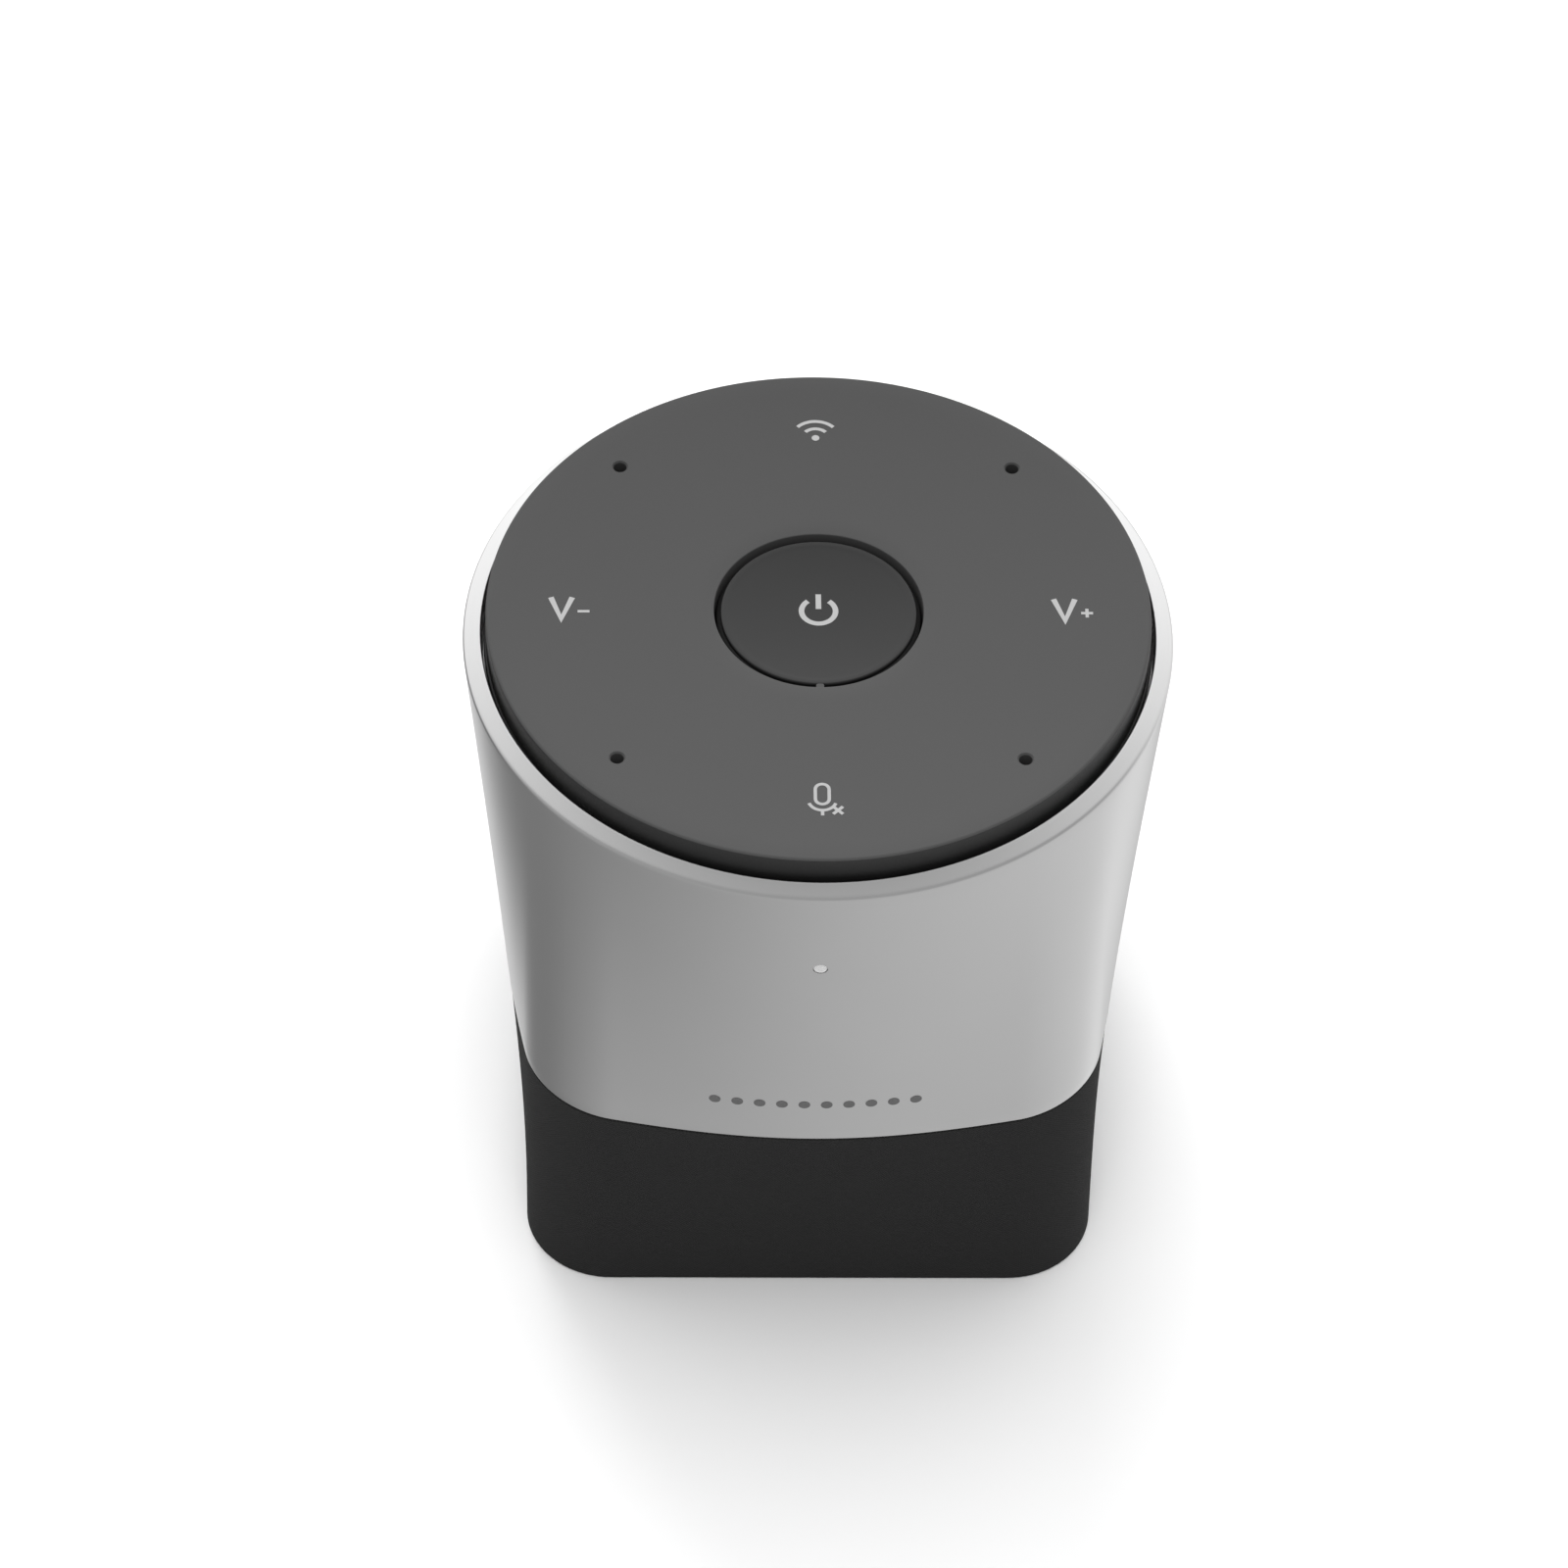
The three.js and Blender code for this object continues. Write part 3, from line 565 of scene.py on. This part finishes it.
# ---------- panel ----------
def make_panel():
    edge, bore_edge = 0.45, 0.15
    collar_r, collar_low, underside = 14.6, 84.0, 87.0
    skirt_inner, skirt_outer, skirt_low = 39.6, 41.4, 81.6
    seat, flange_r = 84.6, PANEL_R + 0.3
    profile = [(BUTTON_BORE_R, collar_low), (collar_r, collar_low), (collar_r, underside),
               (skirt_inner, underside), (skirt_inner, skirt_low), (skirt_outer, skirt_low),
               (skirt_outer, seat - 0.8), (flange_r, seat - 0.6), (flange_r, seat - 0.1),
               (flange_r - 0.1, seat), (PANEL_R, seat)]
    profile += filled(profile[-1], (PANEL_R, PANEL_Z - edge), 4)
    profile += arc((PANEL_R - edge, PANEL_Z - edge), edge, 0, 90, 6)
    profile += filled((PANEL_R - edge, PANEL_Z), (BUTTON_BORE_R + bore_edge, PANEL_Z), 12)
    profile += arc((BUTTON_BORE_R + bore_edge, PANEL_Z - bore_edge), bore_edge, 90, 180, 4)
    o = solid(turned(profile), "panel_face")
    paint(o, PANEL)
    o.data.materials.append(PANEL_SIDE_SHADE)
    # Painted shade: outer faces lower than a little below the panel's face take the darker copy of
    # the plastic.
    for face in o.data.polygons:
        outer = face.center.xy.length > (BUTTON_BORE_R + 1) * MM
        if outer and face.center.z < (PANEL_Z - SIDE_SHADE_DEPTH) * MM:
            face.material_index = 1
    # The microphone holes widen a little at the panel's face.
    flare_r, flare_low, flare_high = MIC_HOLE_R + 0.3, PANEL_Z - 0.2, PANEL_Z + 0.1
    hole = [(0, collar_low), (MIC_HOLE_R, collar_low), (MIC_HOLE_R, flare_low),
            (flare_r, flare_high), (0, flare_high)]
    places = [upright(x, y) for x in (-MIC_AT, MIC_AT) for y in (-MIC_AT, MIC_AT)]
    holes = [cutter_of(turned(hole, 32, place, closed=False)) for place in places]
    combine(o, holes, "DIFFERENCE")
    shade(o.data)
    install(o, None, "case", "panel_plastic", "top_panel")


def make_key():
    outline = rounded_outline(KEY_WIDTH, KEY_LENGTH + 2 * KEY_ROOT, KEY_ROOT, 5)
    middle = KEY_LENGTH / 2 - KEY_ROOT - BUTTON_BORE_R
    low, high = 84.2, PANEL_Z - 0.12
    key = solid(prism(outline, low, high, facing_up(middle)), "panel_key")
    install(key, PANEL, "case", "panel_plastic")


make_panel()
make_key()


# ---------- power button ----------
def dish_z(r):
    """Height of the button's dished face at a radius."""
    ball = (BUTTON_R ** 2 + BUTTON_DISH ** 2) / (2 * BUTTON_DISH)
    return BUTTON_EDGE_Z - BUTTON_DISH + ball - math.sqrt(ball ** 2 - r ** 2)


def make_button():
    edge, cap, skirt = 0.25, BUTTON_R - 0.15, BUTTON_R + 0.3
    brim, brim_z = cap - edge, BUTTON_EDGE_Z - edge
    step_low, step_high = 87.9, 88.2
    # The pin in the middle presses the switch, and the flange holds the button in its bore.
    pin_r, pin_low, underside = 2.2, 85.3, 86.2
    flange_inner, flange_r, flange_low, flange_high = 11, 14.2, 82, 83.4
    profile = [(0, pin_low), (pin_r, pin_low), (pin_r, underside), (flange_inner, underside),
               (flange_inner, flange_low), (flange_r, flange_low), (flange_r, flange_high),
               (skirt, flange_high), (skirt, step_low), (cap, step_high)]
    profile += filled((cap, step_high), (cap, brim_z), 3) + arc((brim, brim_z), edge, 0, 90, 6)
    rings = 20
    profile += [(r, dish_z(r)) for r in (brim * (1 - i / rings) for i in range(1, rings + 1))]
    o = solid(turned(profile, 128, closed=False), "button_cap")
    width, length = KEY_WIDTH + 2 * KEY_CLEARANCE, 2 * (KEY_LENGTH + KEY_CLEARANCE)
    keyway = prism(rounded_outline(width, length, KEY_ROOT, 5), flange_high + 0.2, PANEL_Z + 1,
                   facing_up(-BUTTON_BORE_R))
    combine(o, [cutter_of(keyway)], "DIFFERENCE")
    shade(o.data)
    install(o, BUTTON, "power_button", "button_plastic", "power_button")


def make_seal():
    """Soft ring that the button's flange flattens."""
    low, high = SEAL_LOW.z, SEAL_HIGH.z
    inner, outer, chamfer, edge = 11.4, 14, 0.1, 0.3
    profile = [(inner + chamfer, low), (outer - chamfer, low), (outer, low + chamfer)]
    profile += arc((outer - edge, high - edge), edge, 0, 90, 4)
    profile += arc((inner + edge, high - edge), edge, 90, 180, 4) + [(inner, low + chamfer)]
    o = solid(turned(profile, 96), "soft_seal")
    install(o, RUBBER, "case", "rubber", "button_seal")
    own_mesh(o)


make_button()
make_seal()


# ---------- printed legends ----------
def stroke(points, width, height):
    """A printed line through the points, on a surface whose z at (x, y) height gives."""
    points = [Vector(p) for p in points]
    bm = bmesh.new()
    rings = []
    for i, p in enumerate(points):
        before, after = points[max(i - 1, 0)], points[min(i + 1, len(points) - 1)]
        along = (after - before).normalized()
        side = Vector((-along.y, along.x)) * width / 2
        if 0 < i < len(points) - 1:
            turn = (p - before).normalized().dot((after - p).normalized())
            side /= max(0.5, math.sqrt((1 + turn) / 2))
        corners = ((p - side, -INK), (p + side, -INK), (p + side, INK), (p - side, INK))
        rings.append([bm.verts.new((q.x, q.y, height(q.x, q.y) + lift)) for q, lift in corners])
    for first, second in zip(rings, rings[1:]):
        for i in range(4):
            j = (i + 1) % 4
            bm.faces.new((first[i], first[j], second[j], second[i]))
    bm.faces.new(rings[0])
    bm.faces.new(rings[-1])
    return bm


def make_legend(name, strokes, width, height, body, dots=()):
    """Prints lines of one width, and dots given as x, y and radius."""
    shapes = [stroke(points, width, height) for points in strokes]
    for x, y, r in dots:
        shapes.append(prism(dot((x, y), r), PANEL_Z - INK, PANEL_Z + INK, facing_up()))
    parts = [solid(bm, name) for bm in shapes]
    install(combine(parts[0], parts[1:], "UNION"), LEGEND_INK, body, "light_guide")


def on_panel(x, y):
    return PANEL_Z


def on_button(x, y):
    return dish_z(math.hypot(x, y))


def make_legends():
    # Power: a ring that is open at the back, and a bar in the opening.
    y = 0.75
    ring = arc((0, y), 2.15, 128, 412, 40)
    upstroke = filled((0, y + 3.7), (0, y - 0.45), 5)
    make_legend("power_symbol", [ring, upstroke], 0.7, on_button, "power_button")

    # Wireless: a dot under two arcs.
    y = 30.4
    waves = [arc((0, y), r, 42, 138, 14) for r in (1.75, 3.1)]
    make_legend("wireless_symbol", waves, 0.5, on_panel, "case", [(0, y + 0.1, 0.5)])

    # Microphone off: a capsule in a cradle, with a small cross beside it.
    y = -31.75
    capsule = arc((0, y + 1.4), 0.85, 0, 180, 10) + arc((0, y - 0.2), 0.85, 180, 359, 10)
    capsule.append(capsule[0])
    cradle = arc((0, y - 0.3), 1.75, 200, 340, 14)
    stem = [(0, y - 1.9), (0, y - 2.9)]
    cross = [[(1.3, y - 1.45), (2.5, y - 2.65)], [(1.3, y - 2.65), (2.5, y - 1.45)]]
    make_legend("microphone_off_symbol", [capsule, cradle, stem, *cross], 0.42, on_panel, "case")

    # Volume down and up: a V with a minus or a plus.
    for name, x, sign_x in (("volume_down", -32.4, -29.6), ("volume_up", 31.0, 33.8)):
        letter = [(x - 1.35, 1.95), (x, -1.75), (x + 1.35, 1.95)]
        signs = [[(sign_x - 0.75, -0.45), (sign_x + 0.75, -0.45)]]
        if name == "volume_up":
            signs.append([(sign_x, -1.2), (sign_x, 0.3)])
        make_legend(name + "_letter", [letter], 0.72, on_panel, "case")
        make_legend(name + "_sign", signs, 0.42, on_panel, "case")


make_legends()


# ---------- light guide, charging port and foot ----------
def make_light():
    """A clear rod whose end stands just proud of the sleeve, with a soft edge."""
    skin = body_radius(-pi / 2, LIGHT_Z)
    start = 38.3
    profile = [(0, start), (LIGHT_R, start), (LIGHT_R, skin - 0.2), (LIGHT_R - 0.15, skin - 0.05)]
    profile += [(0.4, skin + 0.02), (0, skin + 0.03)]
    bm = turned(profile, sides=32, place=facing_front, closed=False)
    tip = solid(bm, "light_guide_tip")
    install(tip, LENS, "case", "light_guide", "status_light_pipe")


def bar(width, height, radius, low, high, name="bar"):
    """A rounded bar along Y at the height of the port."""
    return solid(prism(rounded_outline(width, height, radius), low, high, along_y(PORT_Z)), name)


def bevel(o, width):
    """Rounds an object's sharp edges and shades it again."""
    modifier = o.modifiers.new("bevel", "BEVEL")
    modifier.width = width * MM
    modifier.segments = 3
    modifier.limit_method = "ANGLE"
    modifier.angle_limit = radians(50)
    combine(o, [], "UNION")
    shade(o.data)


def make_port():
    # The surround: a plate in the body's skin, with a recess for the plug and a slot for the socket.
    width, height = PORT_SIZE
    plate = 1.2
    usb_width, usb_height, usb_depth, slot_gap = 9.0, 3.3, 7.6, 0.4
    back = PORT_FLOOR_Y - plate
    surround = bar(width, height, PORT_CORNER_R, back, CUT_TO, "port_surround")
    low, high = 20, 70
    skin = turned([(0, low), (RIM_R, low), (RIM_R, high), (0, high)], place=body_point, closed=False)
    combine(surround, [cutter_of(skin)], "INTERSECT")
    recess = bar(*PORT_RECESS, PORT_RECESS_CORNER_R, PORT_FLOOR_Y, CUT_TO)
    slot_height = usb_height + slot_gap
    slot = bar(usb_width + slot_gap, slot_height, slot_height / 2, CUT_FROM, CUT_TO)
    combine(surround, [recess, slot], "DIFFERENCE")
    bevel(surround, 0.22)
    install(surround, BLACK, "case", "black_plastic", "port_bezel")

    # The socket: a steel shell with a tongue, and contacts on both of its sides.
    front, wall, floor = PORT_FLOOR_Y - 0.1, 0.35, 0.8
    back = front - usb_depth
    shell = bar(usb_width, usb_height, usb_height / 2, back, front, "usb_socket")
    inner = usb_height - 2 * wall
    hollow = bar(usb_width - 2 * wall, inner, inner / 2, back + floor, front + 1)
    combine(shell, [hollow], "DIFFERENCE")
    bevel(shell, 0.08)
    install(shell, STEEL, "case", "steel", "usb_c_shell")

    width, height, corner, set_back = 6.7, 0.7, 0.3, 0.9
    tongue = bar(width, height, corner, back + 1, front - set_back, "usb_tongue")
    install(tongue, CHIP, "case", "chip", "usb_c_tongue")
    count, pitch, contact, sunk, middle = 12, 0.5, (0.26, 2.4, 0.04), 0.005, front - 2.6
    contacts = bmesh.new()
    for i in range(count):
        x = (i - (count - 1) / 2) * pitch
        for side in (-1, 1):
            place = Matrix.Translation((x, middle, PORT_Z + side * (height / 2 - sunk)))
            size = Matrix.Diagonal((*contact, 1))
            bmesh.ops.create_cube(contacts, size=1, matrix=place @ size)
    install(solid(contacts, "usb_contacts"), COPPER, "case", "copper")


def make_foot():
    inner, outer, high, edge, chamfer = 26.0, 41.0, 1.1, 0.45, 0.3
    profile = [(inner + chamfer, 0), (outer - edge, 0), *arc((outer - edge, edge), edge, -70, 0, 5)]
    profile += [(outer, high), (inner, high), (inner, chamfer)]
    o = solid(turned(profile, place=body_point), "foot_ring")
    install(o, RUBBER, "case", "rubber", "foot_pad")


make_light()
make_port()
make_foot()


# ---------- base cloth and the row of marks on the front ----------
def make_cloth():
    thick, edge, chamfer = 0.5, 0.2, 0.15
    inner, outer = RIM_R - CLOTH_INSET - thick, RIM_R - CLOTH_INSET
    low, high = CLOTH_INSET, CLOTH_HIGH.z
    profile = [(inner, low + edge / 2), *arc((outer - edge, low + edge), edge, -90, 0, 5)]
    profile += filled((outer, low + edge), (outer, high - chamfer), 20)
    profile += [(outer, high - chamfer), (outer - chamfer, high), (inner, high)]
    o = solid(turned(profile, place=body_point), "base_cloth")
    install(o, CLOTH, "case", "cloth", "grille_cloth")


make_cloth()


def make_marks():
    """Ten equal small dots in a row, low on the front of the sleeve."""
    count, pitch, r, z, sunk = 10, 2.85, 0.75, 41.0, 0.1
    bm = bmesh.new()
    for i in range(count):
        middle = ((i - (count - 1) / 2) * pitch, z)
        prism(dot(middle, r), sunk, -INK, front_point, bm)
    install(solid(bm, "front_marks"), MARK_INK, "case", "black_plastic")


make_marks()


# ---------- studio ----------
def softbox(name, place, width, watts):
    """A square light, in metres, that points at the origin and shows in no reflection."""
    data = bpy.data.lights.new(name, "AREA")
    data.shape = "SQUARE"
    data.size = width
    data.energy = watts
    o = bpy.data.objects.new(name, data)
    scene.collection.objects.link(o)
    o.location = place
    o.rotation_mode = "QUATERNION"
    o.rotation_quaternion = (-Vector(place)).to_track_quat("-Z", "Y")
    o.visible_glossy = False


def make_floor():
    """A pale floor, which shows in no reflection."""
    bm = bmesh.new()
    bmesh.ops.create_grid(bm, x_segments=2, y_segments=2, size=3000)
    floor = solid(bm, "floor")
    m = new_material("floor_paint")
    m.set(Base_Color=m.mix(m.noise(3, 2), grey(0.91), grey(0.93)))
    m.set(Roughness=0.9)
    paint(floor, m.owner)
    floor.visible_glossy = False


def make_sky():
    """Studio surroundings. Above the horizon they brighten towards the back. Below it, where the
    sleeve's sides look, a ramp runs round from the dark left to the bright back."""
    world = bpy.data.worlds.new("studio")
    scene.world = world
    m = Nodes(world, "Background", "Generated")
    x, y, z = m.new("ShaderNodeSeparateXYZ", {"Vector": m.where}).outputs
    turn = m.math("ARCTAN2", x, m.math("MULTIPLY", y, -1))
    share_round = m.math("ADD", m.math("DIVIDE", turn, 2 * pi), 0.5)
    around = m.new("ShaderNodeValToRGB", {"Fac": share_round})
    ramp = around.color_ramp
    # Degrees round from the front, positive to the right, and the brightness there.
    levels = ((-180, 0.72), (-163, 1.18), (-143, 0.52), (-125, 0.24), (-95, 0.25), (-50, 0.41),
              (0, 0.58), (50, 0.67), (98, 0.80), (130, 1.05), (148, 0.82), (164, 0.45), (180, 0.72))
    while len(ramp.elements) < len(levels):
        ramp.elements.new(0.5)
    for element, (degrees, level) in zip(ramp.elements, levels):
        element.position = degrees / 360 + 0.5
        element.color = (level, level, level, 1)

    upper = m.math("ADD", m.math("MULTIPLY", m.math("MAXIMUM", y, 0), 1.2), 0.45)
    above = m.ramp(z, 0, 1, -0.08, 0.12)
    m.set(Color=m.mix(above, around.outputs["Color"], upper), Strength=1.0)


def make_studio():
    make_floor()
    make_sky()
    softbox("overhead_softbox", (-0.05, 0.1, 1.8), 2.2, 20)
    softbox("back_softbox", (-0.3, 1.6, 1.1), 1.0, 19)
    softbox("front_softbox", (0, -0.28, 0.42), 0.2, 0.35)
    scene.view_settings.view_transform = "Standard"


make_studio()
